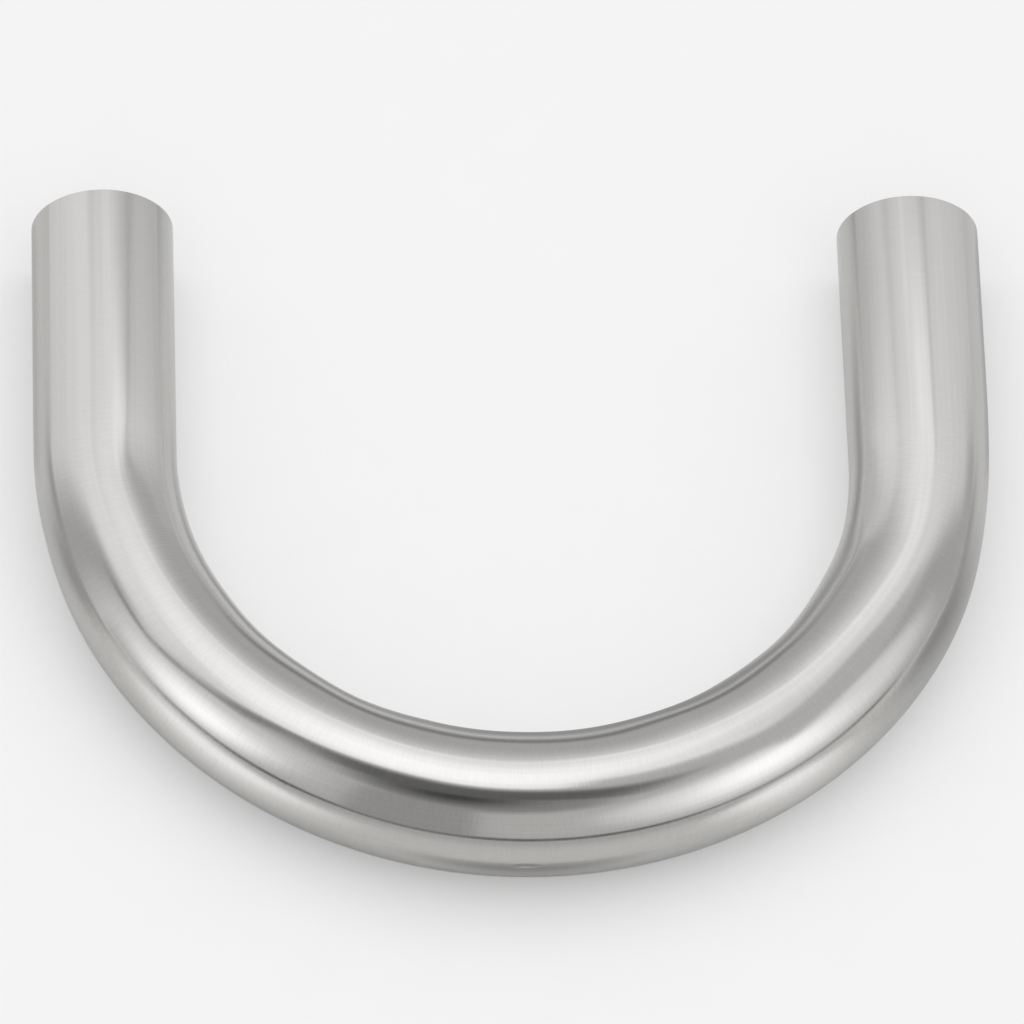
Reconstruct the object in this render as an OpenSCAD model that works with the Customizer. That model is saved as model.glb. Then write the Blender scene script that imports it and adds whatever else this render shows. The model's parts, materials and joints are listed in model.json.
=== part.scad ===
// Return bend: one length of round stainless tube, drawn half a turn round a
// former over a mandrel, with a straight leg left at each end.
// It lies flat on its side. The legs run along +Y and the bend faces -Y.
// The origin is the middle of the footprint, on the surface the tube lies on.

/* [Tube] */
// Outside diameter of the tube
tube_od = 50.8; // [20:0.1:120]
// Wall thickness of the tube
wall = 1.5; // [0.8:0.1:4]

/* [Bend] */
// Radius of the bend, to the centre line of the tube
bend_radius = 145; // [90:1:400]

/* [Legs] */
// Straight length of each leg, from the end of the bend to the cut end
leg_length = 98; // [20:1:400]

/* [Ends] */
// Width of the edge break on the cut ends, inside and outside
edge_break = 0.3; // [0.1:0.05:0.5]

/* [Hidden] */

$fn = 128;

tube_r = tube_od / 2;
bore_r = tube_r - wall;

// The two edge breaks on a cut end leave a land at least a third of the wall wide
end_break = min(edge_break, wall / 3);

// Centre of the bend: the footprint runs from the back of the bend to the cut ends
bend_reach = bend_radius + tube_r;
bend_centre_y = (bend_reach - leg_length) / 2;

// A leg is a turned profile: bore, outside and a cut end with both edges broken
module leg() {
    rotate([-90, 0, 0])
        rotate_extrude()
            polygon([
                [bore_r, 0],
                [tube_r, 0],
                [tube_r, leg_length - end_break],
                [tube_r - end_break, leg_length],
                [bore_r + end_break, leg_length],
                [bore_r, leg_length - end_break]
            ]);
}

// The bend is the tube's ring section, swept half a turn from leg to leg
module half_turn() {
    rotate([0, 0, 180])
        rotate_extrude(angle = 180)
            translate([bend_radius, 0])
                difference() {
                    circle(r = tube_r);
                    circle(r = bore_r);
                }
}

module return_bend() {
    color("silver")
        translate([0, bend_centre_y, tube_r])
            union() {
                half_turn();
                for (side = [-1, 1])
                    translate([side * bend_radius, 0, 0])
                        leg();
            }
}

return_bend();
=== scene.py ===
"""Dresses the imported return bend: a satin polished steel tube, lying on a pale studio floor.

Everything is in metres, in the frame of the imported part: the bend lies flat, its legs run along +Y
to their cut ends, and the floor is at Z = 0.
"""
import json
import math
from collections import namedtuple

import bpy
from mathutils import Matrix, Vector, noise


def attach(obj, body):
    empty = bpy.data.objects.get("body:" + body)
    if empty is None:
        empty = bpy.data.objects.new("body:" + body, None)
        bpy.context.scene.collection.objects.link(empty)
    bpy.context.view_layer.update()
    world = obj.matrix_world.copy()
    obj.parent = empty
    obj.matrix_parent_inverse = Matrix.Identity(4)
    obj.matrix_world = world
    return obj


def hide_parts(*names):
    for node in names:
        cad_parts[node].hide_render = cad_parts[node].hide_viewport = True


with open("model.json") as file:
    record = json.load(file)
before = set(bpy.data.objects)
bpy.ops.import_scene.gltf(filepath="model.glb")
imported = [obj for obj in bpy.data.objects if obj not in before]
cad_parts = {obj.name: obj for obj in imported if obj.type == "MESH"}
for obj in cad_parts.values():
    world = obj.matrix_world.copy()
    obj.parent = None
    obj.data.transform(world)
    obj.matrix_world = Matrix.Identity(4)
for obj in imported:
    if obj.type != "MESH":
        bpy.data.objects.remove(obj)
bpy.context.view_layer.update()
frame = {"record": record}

# Sizes of the tube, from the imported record
record = frame["record"]
mounts = {mount["name"]: mount for mount in record["mounts"]}
TUBE_R = mounts["left_spigot"]["dims"]["r_mm"] / 1000
BORE_R = mounts["left_bore"]["dims"]["r_mm"] / 1000
BEND_R = mounts["right_end"]["pos_m"][0]
END_Y = mounts["right_end"]["pos_m"][1]
STEEL = record["materials"][0]["base_color"]

# The crown lies as far in front of the origin as the cut ends lie behind it
BEND_Y = BEND_R + TUBE_R - END_Y
LEG = END_Y - BEND_Y
EDGE = LEG - mounts["left_spigot"]["dims"]["length_mm"] / 1000
ARC = math.pi * BEND_R
LENGTH = ARC + 2 * LEG

# Fineness of the tube's mesh: corners round it, rows along a leg and rows along the bend
AROUND = 128
LEG_ROWS = 14
BEND_ROWS = 150

# Faces that meet at more than this angle have a hard edge between them
SHARP_ANGLE = math.radians(30)

# The tube's UV map, and its materials in the order that the mesh holds them
SKIN_MAP = "along_and_around"
OUTSIDE, CUT_END, BORE = range(3)

# Unevenness that bending leaves in the skin: its depth, its size along and round the tube, and the length
# of bend over which it sets in
RIPPLE_DEPTH = 0.0006
RIPPLE_LENGTH = 0.036
RIPPLE_WIDTH = 0.018
RIPPLE_START = 0.05

# Shallow flats that bending leaves where the bend starts and ends: the middle of each, as a length along
# the tube and a turn from its outer side in degrees, how far it reaches both ways, and its depth
Flat = namedtuple("Flat", "along turn length width depth")
FLATS = (
    Flat(along=0.118, turn=118, length=0.020, width=24, depth=0.0008),
    Flat(along=0.128, turn=0, length=0.024, width=40, depth=0.0006),
    Flat(along=0.507, turn=128, length=0.026, width=38, depth=0.0014),
    Flat(along=0.532, turn=5, length=0.027, width=40, depth=0.0014),
)

# Nick low on the outer side of the crown: its middle on the skin, as a length along the tube and a length
# round it from its bottom, how far it reaches both ways, and its depth in depths of the finest marks
NICK_PLACE = 0.3255, 0.0399
NICK_REACH = 0.0055, 0.0017
NICK_DEPTH = 10

# Marks in the outside: how deep the polish is on the legs, as a share of its depth on the bend, and the
# share that the draw lines have in all the marks
POLISH_ON_LEGS = 0.45
DRAW_LINE_SHARE = 0.35

# Values that a grain takes: their middle, and those at which the steel is darkest and lightest
GRAIN_MEAN = 0.5
GRAIN_ENDS = 0.3, 0.7

# Strength of all the marks in the steel
BUMP_STRENGTH = 0.25

# Camera, found by fitting the tube's outline in the photograph
CAMERA_AZIMUTH = math.radians(-6.33)
CAMERA_ELEVATION = math.radians(56.19)
CAMERA_ROLL = math.radians(5.62)
CAMERA_DISTANCE = 4.25
CAMERA_TARGET = Vector((-0.0011, 0.0136, TUBE_R))
SENSOR_MM = 36
LENS_MM = 421.875

# Ways to face
TO_LEFT = -1, 0, 0
TO_RIGHT = 1, 0, 0
TO_FRONT = 0, -1, 0
TO_BACK = 0, 1, 0
UP = 0, 0, 1
DOWN = 0, 0, -1

# Light from all round, and a soft light over the floor: its size, its power in watts and its height
SURROUND_LIGHT = 0.64
OVERHEAD_SIZE = 1.6
OVERHEAD_POWER = 7.8
OVERHEAD_HEIGHT = 1.3

# Boards of the floor: half their width, and how far their tone strays
BOARD_HALF = 4
MOTTLE = 0.01

# Height of a layer on the floor. Cards that overlap lie in layers of their own: where two lie at one
# height, one hides the other up to a hard edge
LAYER = 0.0005

# Light of a card that isn't even: the peak at a hot spot, easing to the rim's light over the spread
Glow = namedtuple("Glow", "peak rim hot spread")

# Colour of the cards' light: white, a little cool
CLOTH_WHITE = 0.945, 0.941, 0.953, 1.0


# Node helpers


def new_material(name):
    """An empty node material, its tree and its output node."""
    material = bpy.data.materials.new(name)
    material.use_nodes = True
    tree = material.node_tree
    tree.nodes.clear()
    return material, tree, tree.nodes.new("ShaderNodeOutputMaterial")


def feed(tree, socket, value):
    """Links another socket to this one, or sets it to a plain value."""
    if isinstance(value, bpy.types.NodeSocket):
        tree.links.new(value, socket)
    else:
        socket.default_value = value


def add(tree, kind, **settings):
    """A new node. A setting with the name of an input feeds it, and any other is an attribute."""
    node = tree.nodes.new(kind)
    for key, value in settings.items():
        name = key.replace("_", " ").title()
        if name in node.inputs:
            feed(tree, node.inputs[name], value)
        else:
            setattr(node, key, value)
    return node


def maths(tree, operation, *values):
    """Result of a maths node on numbers or sockets."""
    node = tree.nodes.new("ShaderNodeMath")
    node.operation = operation
    for socket, value in zip(node.inputs, values):
        feed(tree, socket, value)
    return node.outputs["Value"]


def fade(tree, value, reach):
    """0 at or below 0, 1 at reach and above, smooth between."""
    node = add(tree, "ShaderNodeMapRange", value=value, interpolation_type="SMOOTHSTEP", from_max=reach)
    return node.outputs["Result"]


def object_place(tree):
    """Place in the object's own axes."""
    return add(tree, "ShaderNodeTexCoord").outputs["Object"]


def x_and_y(tree, place):
    """The first two parts of a place."""
    split = add(tree, "ShaderNodeSeparateXYZ", vector=place)
    return split.outputs["X"], split.outputs["Y"]


def grain(tree, place, cells, detail=2.0, turn=0):
    """Noise with that many cells to the metre each way, turned by degrees on the surface."""
    turned = add(tree, "ShaderNodeMapping", vector=place, rotation=(0, 0, math.radians(turn)))
    stretched = add(tree, "ShaderNodeMapping", vector=turned.outputs["Vector"], scale=cells)
    texture = add(tree, "ShaderNodeTexNoise", vector=stretched.outputs["Vector"], scale=1.0, detail=detail)
    return texture.outputs["Fac"]


def spot(tree, across, centre, reach, edge=1):
    """An oval on a surface: 0 outside it, easing to 1 over that share of its reach."""
    squares = []
    for place, middle, radius in zip(across, centre, reach):
        share = maths(tree, "DIVIDE", maths(tree, "SUBTRACT", place, middle), radius)
        squares.append(maths(tree, "MULTIPLY", share, share))
    off_middle = maths(tree, "SQRT", maths(tree, "ADD", *squares))
    return fade(tree, maths(tree, "SUBTRACT", 1, off_middle), edge)


# The tube's mesh


def section(s):
    """Centre of the tube and the way out of the bend, at length s from the left cut end."""
    if s <= LEG:
        return Vector((-BEND_R, END_Y - s, TUBE_R)), Vector(TO_LEFT)
    if s >= LEG + ARC:
        return Vector((BEND_R, END_Y - (LENGTH - s), TUBE_R)), Vector(TO_RIGHT)
    turn = math.pi + (s - LEG) / BEND_R
    out = Vector((math.cos(turn), math.sin(turn), 0))
    return Vector((0, BEND_Y, TUBE_R)) + BEND_R * out, out


def ripple(s, turn):
    """How far the bend's wall waves in, at length s and a turn from the outer side.

    It waves most on the inner side, and only inwards at the top and bottom.
    """
    into_bend = min(s, LENGTH - s) - LEG
    start = min(max(into_bend / RIPPLE_START, 0), 1)
    inner = math.sin(turn / 2) ** 2
    reach = TUBE_R / RIPPLE_WIDTH
    wave = noise.noise(Vector((reach * math.cos(turn), reach * math.sin(turn), s / RIPPLE_LENGTH)))
    return RIPPLE_DEPTH * start * inner * (abs(math.sin(turn)) + wave)


def flat_depth(flat, s, turn):
    """How far a flat dips in, at length s and a turn from the outer side."""
    off_along = (s - flat.along) / flat.length
    off_turn = (math.degrees(turn) - flat.turn) / flat.width
    return flat.depth * math.exp(-(off_along ** 2) - off_turn ** 2)


def dip(s, turn):
    """How far the wall lies in from a true tube's, at length s and a turn from the outer side."""
    return ripple(s, turn) + sum(flat_depth(flat, s, turn) for flat in FLATS)


def ring(s, radius):
    """Corners round the tube at length s, from its bottom."""
    centre, out = section(s)
    corners = []
    for k in range(AROUND):
        turn = 2 * math.pi * k / AROUND - math.pi / 2
        reach = radius - dip(s, turn)
        corners.append(centre + reach * (math.cos(turn) * out + math.sin(turn) * Vector(UP)))
    return corners


def stations():
    """Lengths along the tube at which its skins have a ring of corners, edge breaks left out."""
    leg = [EDGE + (LEG - EDGE) * k / LEG_ROWS for k in range(LEG_ROWS)]
    bend = [LEG + ARC * k / BEND_ROWS for k in range(BEND_ROWS + 1)]
    return leg + bend + [LENGTH - s for s in reversed(leg)]


def tube_rings():
    """Length and radius of each ring of the tube's one closed skin.

    It runs along the outside, over the right cut end, back along the bore and over the left cut end.
    """
    along = stations()
    outside = [(s, TUBE_R) for s in along]
    right_face = [(LENGTH, TUBE_R - EDGE), (LENGTH, BORE_R + EDGE)]
    bore = [(s, BORE_R) for s in reversed(along)]
    left_face = [(0, BORE_R + EDGE), (0, TUBE_R - EDGE)]
    return outside + right_face + bore + left_face


def ring_faces(count):
    """Faces that join each ring to the next, and the last one to the first."""
    faces = []
    for row in range(count):
        here = row * AROUND
        there = (row + 1) % count * AROUND
        for k in range(AROUND):
            after = (k + 1) % AROUND
            faces.append((here + k, there + k, there + after, here + after))
    return faces


def face_material(radius, next_radius):
    """Material of the faces between two rings. Where the radius changes, they are a cut end's."""
    if radius != next_radius:
        return CUT_END
    return {TUBE_R: OUTSIDE, BORE_R: BORE}[radius]


def lay_out_skin(mesh, rings):
    """Gives each face its material and its place on the skin: length along the tube, share of a turn."""
    uv = mesh.uv_layers.new(name=SKIN_MAP).data
    for face in mesh.polygons:
        row, k = divmod(face.index, AROUND)
        s, radius = rings[row]
        next_s, next_radius = rings[(row + 1) % len(rings)]
        face.material_index = face_material(radius, next_radius)
        places = (s, k), (next_s, k), (next_s, k + 1), (s, k + 1)
        for loop, (along, step) in zip(face.loop_indices, places):
            uv[loop].uv = along, step / AROUND


def build_tube():
    """The tube, outside, cut ends and bore in one closed mesh."""
    rings = tube_rings()
    corners = [corner for s, radius in rings for corner in ring(s, radius)]
    mesh = bpy.data.meshes.new("tube")
    mesh.from_pydata(corners, [], ring_faces(len(rings)))
    lay_out_skin(mesh, rings)
    mesh.polygons.foreach_set("use_smooth", [True] * len(mesh.polygons))
    mesh.set_sharp_from_angle(angle=SHARP_ANGLE)
    tube = bpy.data.objects.new("tube", mesh)
    bpy.context.scene.collection.objects.link(tube)
    return tube


# Steel


def skin_place(tree):
    """Place on the tube's skin, in metres: X along the tube, Y round it."""
    uv = add(tree, "ShaderNodeUVMap", uv_map=SKIN_MAP).outputs["UV"]
    return add(tree, "ShaderNodeMapping", vector=uv, scale=(1, 2 * math.pi * TUBE_R, 1)).outputs["Vector"]


def bend_share(tree, place):
    """0 on the straight legs, 1 in the bend."""
    along, _ = x_and_y(tree, place)
    from_end = maths(tree, "MINIMUM", along, maths(tree, "SUBTRACT", LENGTH, along))
    return fade(tree, maths(tree, "SUBTRACT", from_end, LEG - RIPPLE_START / 2), RIPPLE_START)


def nick(tree, place):
    """The nick in the crown: 1 in its middle, 0 off it."""
    return spot(tree, x_and_y(tree, place), NICK_PLACE, NICK_REACH)


def satin_polish(tree, place):
    """Fine marks round the tube, from polishing at two slants. They are fainter on the legs."""
    slants = [grain(tree, place, cells=(1500, 110, 1), turn=turn) for turn in (9, -6)]
    marks = maths(tree, "MULTIPLY_ADD", maths(tree, "ADD", *slants), 1 / len(slants), -GRAIN_MEAN)
    depth = maths(tree, "MULTIPLY_ADD", bend_share(tree, place), 1 - POLISH_ON_LEGS, POLISH_ON_LEGS)
    return maths(tree, "MULTIPLY_ADD", marks, depth, GRAIN_MEAN)


def rougher(tree, roughness, marks, by):
    """Roughness that grows with the marks."""
    return maths(tree, "MULTIPLY_ADD", marks, by, roughness)


def shaded(tree, marks, depth):
    """The steel's colour, darker in the marks and lighter between them: that depth apart."""
    ramp = add(tree, "ShaderNodeValToRGB", fac=marks)
    levels = 1 - depth / 2, 1 + depth / 2
    for stop, value, level in zip(ramp.color_ramp.elements, GRAIN_ENDS, levels):
        stop.position = value
        stop.color = (*(level * c for c in STEEL), 1)
    return ramp.outputs["Color"]


def bare_metal(tree, output, colour, roughness, height, bump_depth, anisotropy=0.0):
    """Ends a steel's tree in bare metal, rougher along the tube than round it if anisotropic."""
    bump = add(tree, "ShaderNodeBump", strength=BUMP_STRENGTH, distance=bump_depth, height=height)
    tangent = add(tree, "ShaderNodeTangent", direction_type="UV_MAP", uv_map=SKIN_MAP)
    shader = add(
        tree,
        "ShaderNodeBsdfPrincipled",
        base_color=colour,
        metallic=1.0,
        roughness=roughness,
        anisotropic=anisotropy,
        normal=bump.outputs["Normal"],
        tangent=tangent.outputs["Tangent"],
    )
    tree.links.new(shader.outputs["BSDF"], output.inputs["Surface"])


def polished_steel():
    """Outside of the tube: draw lines along it, and over the bend a satin polish that runs round it."""
    material, tree, output = new_material("polished_steel")
    place = skin_place(tree)
    polish = satin_polish(tree, place)
    draw_lines = grain(tree, place, cells=(6, 800, 1))
    smudges = grain(tree, place, cells=(35, 35, 1))

    polish_part = maths(tree, "MULTIPLY", polish, 1 - DRAW_LINE_SHARE)
    marks = maths(tree, "MULTIPLY_ADD", draw_lines, DRAW_LINE_SHARE, polish_part)
    height = maths(tree, "MULTIPLY_ADD", nick(tree, place), -NICK_DEPTH, marks)
    rough = rougher(tree, rougher(tree, 0.08, smudges, by=0.06), polish, by=0.06)
    colour = shaded(tree, marks, depth=0.12)
    bare_metal(tree, output, colour, rough, height, bump_depth=0.00006, anisotropy=0.45)
    return material


def cut_steel():
    """Cut ends and their edge breaks: dull, with the saw's lines level across them."""
    material, tree, output = new_material("cut_steel")
    saw_lines = grain(tree, object_place(tree), cells=(60, 200, 3000))
    rough = rougher(tree, 0.28, saw_lines, by=0.2)
    colour = shaded(tree, saw_lines, depth=0.15)
    bare_metal(tree, output, colour, rough, saw_lines, bump_depth=0.00008)
    return material


def bore_steel():
    """Bore: as drawn, duller than the outside, with lines along it."""
    material, tree, output = new_material("bore_steel")
    place = skin_place(tree)
    draw_lines = grain(tree, place, cells=(6, 700, 1))
    stains = grain(tree, place, cells=(40, 40, 1))
    rough = rougher(tree, 0.32, stains, by=0.2)
    colour = shaded(tree, stains, depth=0.12)
    bare_metal(tree, output, colour, rough, draw_lines, bump_depth=0.00008)
    return material


# Studio: floor, light tent and camera


def flat_mesh(name, half, material):
    """A rectangle round the origin, in the XY plane."""
    x, y = half
    mesh = bpy.data.meshes.new(name)
    mesh.from_pydata([(-x, -y, 0), (x, -y, 0), (x, y, 0), (-x, y, 0)], [], [(0, 1, 2, 3)])
    mesh.materials.append(material)
    return mesh


def only_in_reflections(stage_piece):
    """Hides a piece of the studio from the camera, and keeps its light and shadow off the floor."""
    stage_piece.visible_camera = False
    stage_piece.visible_diffuse = False
    stage_piece.visible_shadow = False


def board_material(name, tone, glow):
    """Matt board of that tone with a faint mottle, lit from below by a glow."""
    material, tree, output = new_material(name)
    material.cycles.emission_sampling = "NONE"
    mottle = grain(tree, object_place(tree), cells=(40, 40, 40), detail=4.0)
    mottled = add(tree, "ShaderNodeMapRange", value=mottle, to_min=tone - MOTTLE, to_max=tone + MOTTLE)
    matt = add(tree, "ShaderNodeBsdfDiffuse", color=mottled.outputs["Result"])
    shine = add(tree, "ShaderNodeEmission", strength=glow)
    both = tree.nodes.new("ShaderNodeAddShader")
    tree.links.new(matt.outputs["BSDF"], both.inputs[0])
    tree.links.new(shine.outputs["Emission"], both.inputs[1])
    tree.links.new(both.outputs["Shader"], output.inputs["Surface"])
    return material


def board(name, layer, tone, glow):
    """A wide level board of the floor."""
    material = board_material(name, tone, glow)
    placed = bpy.data.objects.new(name, flat_mesh(name, (BOARD_HALF, BOARD_HALF), material))
    placed.location.z = layer * LAYER
    bpy.context.scene.collection.objects.link(placed)
    return placed


def build_floor():
    """A light table, and just over it a plain board, which stands in for it in the tube's reflections."""
    board("floor", 0, tone=0.65, glow=0.30)
    only_in_reflections(board("reflected_floor", 2, tone=0.80, glow=0))


def panel(tree, across, half, edge):
    """Cover of a rectangular card: whole inside, fading out over edges of that width."""
    sides = []
    for place, reach, soft in zip(across, half, edge):
        inset = maths(tree, "SUBTRACT", reach, maths(tree, "ABSOLUTE", place))
        sides.append(fade(tree, inset, soft))
    return maths(tree, "MULTIPLY", *sides)


def disc(tree, across, half, edge):
    """Cover of an oval card: whole inside, fading out over that share of its radius."""
    return spot(tree, across, (0, 0), half, edge)


def card_material(name, shape, half, edge, light):
    """A plain light over the shape of the card, clear outside it."""
    material, tree, output = new_material(name)
    material.cycles.emission_sampling = "NONE"
    across = x_and_y(tree, object_place(tree))
    if isinstance(light, Glow):
        near = spot(tree, across, light.hot, light.spread)
        light = maths(tree, "MULTIPLY_ADD", near, light.peak - light.rim, light.rim)
    shine = add(tree, "ShaderNodeEmission", color=CLOTH_WHITE, strength=light)
    mix = add(tree, "ShaderNodeMixShader", fac=shape(tree, across, half, edge))
    tree.links.new(add(tree, "ShaderNodeBsdfTransparent").outputs["BSDF"], mix.inputs[1])
    tree.links.new(shine.outputs["Emission"], mix.inputs[2])
    tree.links.new(mix.outputs["Shader"], output.inputs["Surface"])
    return material


def card(name, shape, faces, centre, half, edge, light, turn=0):
    """A flat card that shows only in reflections, given by half its width and height.

    Its own Y runs up it, or along +Y if it is level. Its edge is what its shape fades over, its light is
    even or a Glow, and it is turned by degrees in its own plane.
    """
    out = Vector(faces).normalized()
    upright = Vector(TO_BACK) if faces in (UP, DOWN) else Vector(UP)
    across = upright.cross(out).normalized()
    axes = Matrix((across, out.cross(across), out)).transposed().to_4x4()
    mesh = flat_mesh(name, half, card_material(name, shape, half, edge, light))
    placed = bpy.data.objects.new(name, mesh)
    placed.matrix_world = Matrix.Translation(centre) @ axes @ Matrix.Rotation(math.radians(turn), 4, "Z")
    only_in_reflections(placed)
    bpy.context.scene.collection.objects.link(placed)


def floor_card(name, shape, layer, place, half, edge, light, turn=0):
    """A card that lies on the floor, face up, in that layer."""
    card(name, shape, UP, (*place, layer * LAYER), half, edge, light, turn)


def build_walls():
    """White cloth at both sides and behind. It runs past the corners, so that these are closed."""
    left = Glow(peak=1.19, rim=0.84, hot=(-0.17, 0.04), spread=(0.90, 1.01))
    left_rear = Glow(peak=0.98, rim=0.74, hot=(0, 0.34), spread=(1.20, 0.60))
    right = Glow(peak=1.12, rim=0.66, hot=(0.29, 0.06), spread=(0.54, 1.45))
    back = Glow(peak=1.17, rim=0.60, hot=(-0.20, 0.48), spread=(1.02, 0.80))
    card("left_wall", panel, TO_RIGHT, (-0.45, 0.47, 0.60), (0.53, 0.65), (0.02, 0.02), left)
    card("left_rear", panel, TO_RIGHT, (-0.44, 0.69, 0.21), (0.25, 0.55), (0.06, 0.12), left_rear, turn=-20)
    card("right_wall", panel, TO_LEFT, (0.45, 0.62, 0.60), (0.46, 0.75), (0.12, 0.02), right, turn=14)
    card("back_wall", panel, TO_FRONT, (0, 0.68, 0.60), (0.70, 0.65), (0.02, 0.02), back)
    card("back_left", panel, TO_FRONT, (-0.45, 0.675, 0.30), (0.17, 0.36), (0.12, 0.12), 0.85)
    card("back_middle", disc, TO_FRONT, (-0.06, 0.675, 0.855), (0.15, 0.08), 0.80, 1.20)
    card("back_right", panel, TO_FRONT, (0.40, 0.675, 0.93), (0.22, 0.12), (0.10, 0.07), 1.18)
    card("right_upper", panel, TO_LEFT, (0.47, -0.21, 0.69), (0.47, 0.35), (0.07, 0.10), 0.70)


def build_ceiling():
    """A bright panel overhead, a plainer one at its right, and a bright spot behind."""
    bright = Glow(peak=1.69, rim=1.10, hot=(-0.33, -0.27), spread=(0.63, 0.68))
    plain = Glow(peak=0.96, rim=1.42, hot=(0.04, -0.17), spread=(0.47, 0.56))
    card("ceiling", panel, DOWN, (-0.33, 0.41, 0.90), (0.58, 0.57), (0.045, 0.06), bright, turn=10)
    card("ceiling_right", panel, DOWN, (0.54, 0.41, 0.91), (0.40, 0.54), (0.06, 0.14), plain)
    card("ceiling_rear", disc, DOWN, (0.17, 0.62, 0.895), (0.20, 0.11), 0.90, 1.44)


def build_lamps():
    """A soft lamp behind the cloth at each side of the front, and the pools of light they throw."""
    left = Glow(peak=1.76, rim=0.94, hot=(-0.05, -0.13), spread=(0.22, 0.27))
    right = Glow(peak=1.78, rim=1.08, hot=(0.035, -0.037), spread=(0.27, 0.27))
    card("left_lamp", disc, (0.9, 0.4, 0), (-0.443, -0.18, 0.30), (0.34, 0.35), 0.55, left)
    card("right_lamp", disc, (-0.8, 0.55, 0), (0.447, -0.32, 0.32), (0.54, 0.34), 0.50, right)
    floor_card("left_pool", disc, 8, (-0.178, -0.133), (0.12, 0.077), 0.83, 1.38, turn=-28)
    floor_card("left_tail", disc, 7, (-0.28, -0.16), (0.15, 0.085), 0.90, 1.10)
    floor_card("right_pool", disc, 8, (0.169, -0.163), (0.105, 0.07), 0.82, 1.36, turn=-38)
    floor_card("right_tail", disc, 7, (0.26, -0.235), (0.15, 0.065), 0.90, 1.10, turn=-38)


def build_dark_gaps():
    """Dark parts of the tent: its open front, its left pole, its walls' feet and its floor's edges."""
    front = Glow(peak=0.06, rim=0.36, hot=(0.06, 0.06), spread=(0.34, 0.32))
    card("camera_gap", disc, (0.06, 0.55, -0.83), (-0.084, -0.62, 0.864), (0.47, 0.33), 0.35, front)
    card("front_gap", panel, DOWN, (-0.03, -0.40, 0.93), (0.59, 0.20), (0.32, 0.11), 0.17, turn=10.5)
    card("front_flap", panel, (0.3, 1, 0), (-0.22, -0.62, 0.32), (0.16, 0.32), (0.026, 0.084), 0.44)
    card("pole_top", panel, TO_RIGHT, (-0.41, -0.165, 0.77), (0.07, 0.36), (0.05, 0.16), 0.30)
    card("pole", panel, TO_RIGHT, (-0.40, -0.122, 0.42), (0.03, 0.19), (0.022, 0.05), 0.40, turn=22)
    card("pole_foot", panel, TO_RIGHT, (-0.40, -0.01, 0.262), (0.075, 0.03), (0.05, 0.025), 0.35)
    card("left_shade", panel, TO_RIGHT, (-0.44, 0.065, 0.125), (0.13, 0.31), (0.12, 0.14), 0.56)
    card("right_shade", panel, TO_LEFT, (0.44, 0.06, 0.18), (0.10, 0.24), (0.08, 0.12), 0.57)
    card("right_foot", panel, TO_LEFT, (0.43, 0.13, 0.03), (0.13, 0.10), (0.10, 0.09), 0.60)
    card("front_edge", panel, TO_BACK, (0, -0.90, 0.02), (1.2, 0.05), (0.10, 0.03), 0.03)
    card("left_edge", panel, TO_RIGHT, (-0.62, -0.52, 0.018), (0.40, 0.043), (0.16, 0.013), 0.04)
    card("right_edge", panel, TO_LEFT, (0.62, -0.50, 0.018), (0.42, 0.03), (0.15, 0.021), 0.20)
    card("back_edge", panel, TO_FRONT, (0.03, 0.50, 0.035), (0.22, 0.098), (0.14, 0.067), 0.31)


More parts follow.
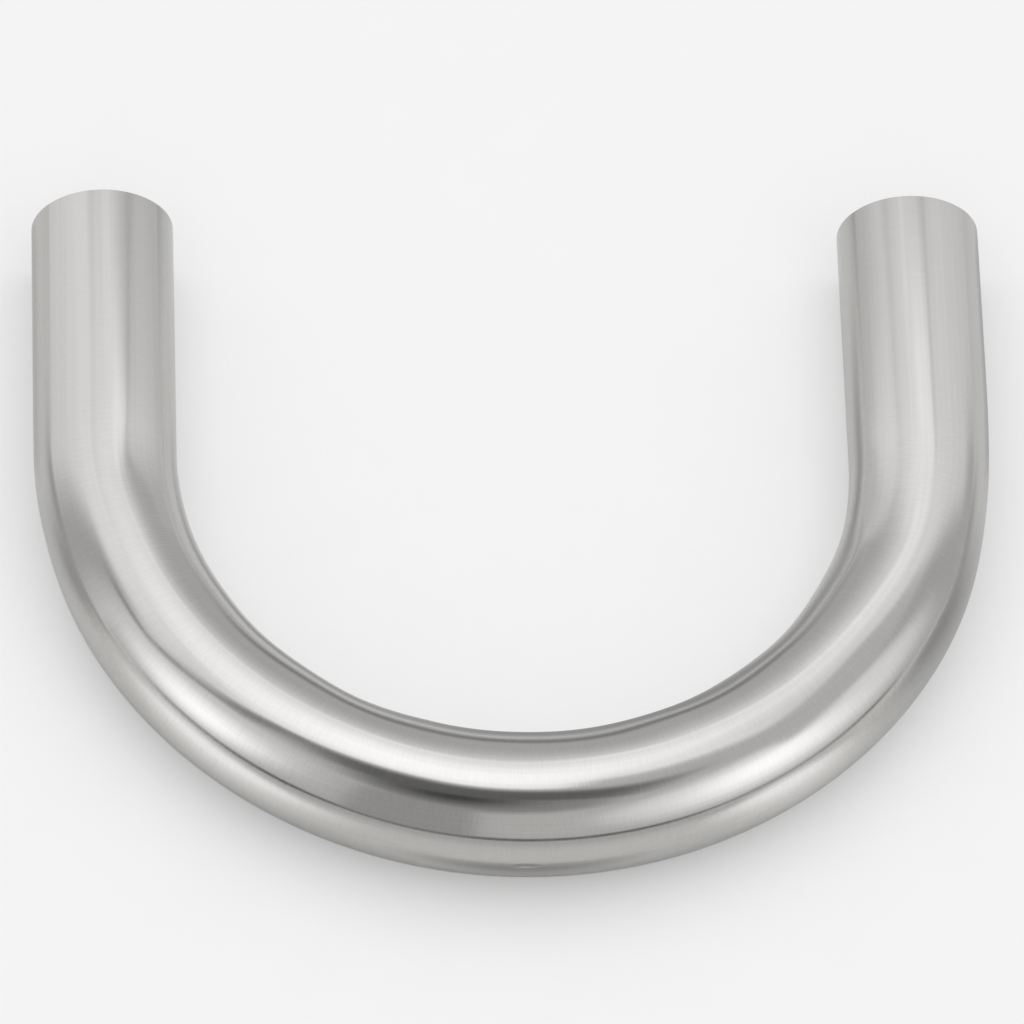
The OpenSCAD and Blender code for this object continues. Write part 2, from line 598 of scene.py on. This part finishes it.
def build_floor_shades():
    """Shade on the floor: inside the bend, close under the tube, beside it and further out."""
    inner = Glow(peak=0.82, rim=0.40, hot=(-0.04, 0.08), spread=(0.11, 0.14))
    floor_card("inner_shade", disc, 5, (0.02, 0.03), (0.085, 0.16), 0.50, inner)
    floor_card("inner_left", disc, 10, (-0.06, 0.01), (0.085, 0.035), 0.80, 0.46, turn=-52)
    floor_card("left_contact", panel, 10, (-0.178, 0.10), (0.03, 0.07), (0.03, 0.03), 0.58)
    floor_card("right_contact", panel, 10, (0.178, 0.10), (0.03, 0.07), (0.03, 0.03), 0.50)
    floor_card("front_contact", disc, 10, (0, -0.143), (0.065, 0.014), 0.90, 0.38)
    floor_card("left_dim", disc, 6, (-0.25, 0), (0.09, 0.058), 0.90, 0.45)
    floor_card("right_dim", disc, 6, (0.262, -0.033), (0.175, 0.09), 0.90, 0.41)
    floor_card("left_floor", disc, 4, (-0.39, 0.045), (0.18, 0.145), 0.55, 0.48)
    floor_card("right_floor", disc, 4, (0.40, 0.02), (0.19, 0.13), 0.55, 0.49)
    floor_card("back_floor", disc, 3, (-0.02, 0.36), (0.24, 0.24), 0.80, 0.50)
    floor_card("front_floor", panel, 4, (0, -0.45), (0.50, 0.30), (0.25, 0.20), 0.60)


def build_surround():
    """Even white light from all round, with colours shown as they are."""
    world = bpy.data.worlds.new("studio")
    world.use_nodes = True
    surround = world.node_tree.nodes["Background"]
    surround.inputs["Color"].default_value = (1, 1, 1, 1)
    surround.inputs["Strength"].default_value = SURROUND_LIGHT
    bpy.context.scene.world = world
    bpy.context.scene.view_settings.view_transform = "Standard"


def build_overhead_light():
    """A large soft light overhead, for the floor alone: the tube shows the tent instead."""
    data = bpy.data.lights.new("overhead", "AREA")
    data.size = OVERHEAD_SIZE
    data.energy = OVERHEAD_POWER
    light = bpy.data.objects.new("overhead", data)
    light.location.z = OVERHEAD_HEIGHT
    light.visible_glossy = False
    bpy.context.scene.collection.objects.link(light)


def build_studio():
    """The floor, its lights and the tent."""
    build_surround()
    build_floor()
    build_overhead_light()
    build_walls()
    build_ceiling()
    build_lamps()
    build_dark_gaps()
    build_floor_shades()


def build_camera():
    """The photograph's camera, at its distance from the target and rolled about its line of sight."""
    back = Vector((
        math.sin(CAMERA_AZIMUTH) * math.cos(CAMERA_ELEVATION),
        -math.cos(CAMERA_AZIMUTH) * math.cos(CAMERA_ELEVATION),
        math.sin(CAMERA_ELEVATION),
    ))
    right = Vector((math.cos(CAMERA_AZIMUTH), math.sin(CAMERA_AZIMUTH), 0))
    axes = Matrix((right, back.cross(right), back)).transposed().to_4x4()
    data = bpy.data.cameras.new("camera")
    data.sensor_width = SENSOR_MM
    data.lens = LENS_MM
    camera = bpy.data.objects.new("camera", data)
    place = Matrix.Translation(CAMERA_TARGET + back * CAMERA_DISTANCE)
    camera.matrix_world = place @ axes @ Matrix.Rotation(CAMERA_ROLL, 4, "Z")
    bpy.context.scene.collection.objects.link(camera)
    bpy.context.scene.camera = camera


tube = build_tube()
for material in (polished_steel(), cut_steel(), bore_steel()):
    tube.data.materials.append(material)
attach(tube, "root")
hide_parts("return_bend")
build_studio()
build_camera()
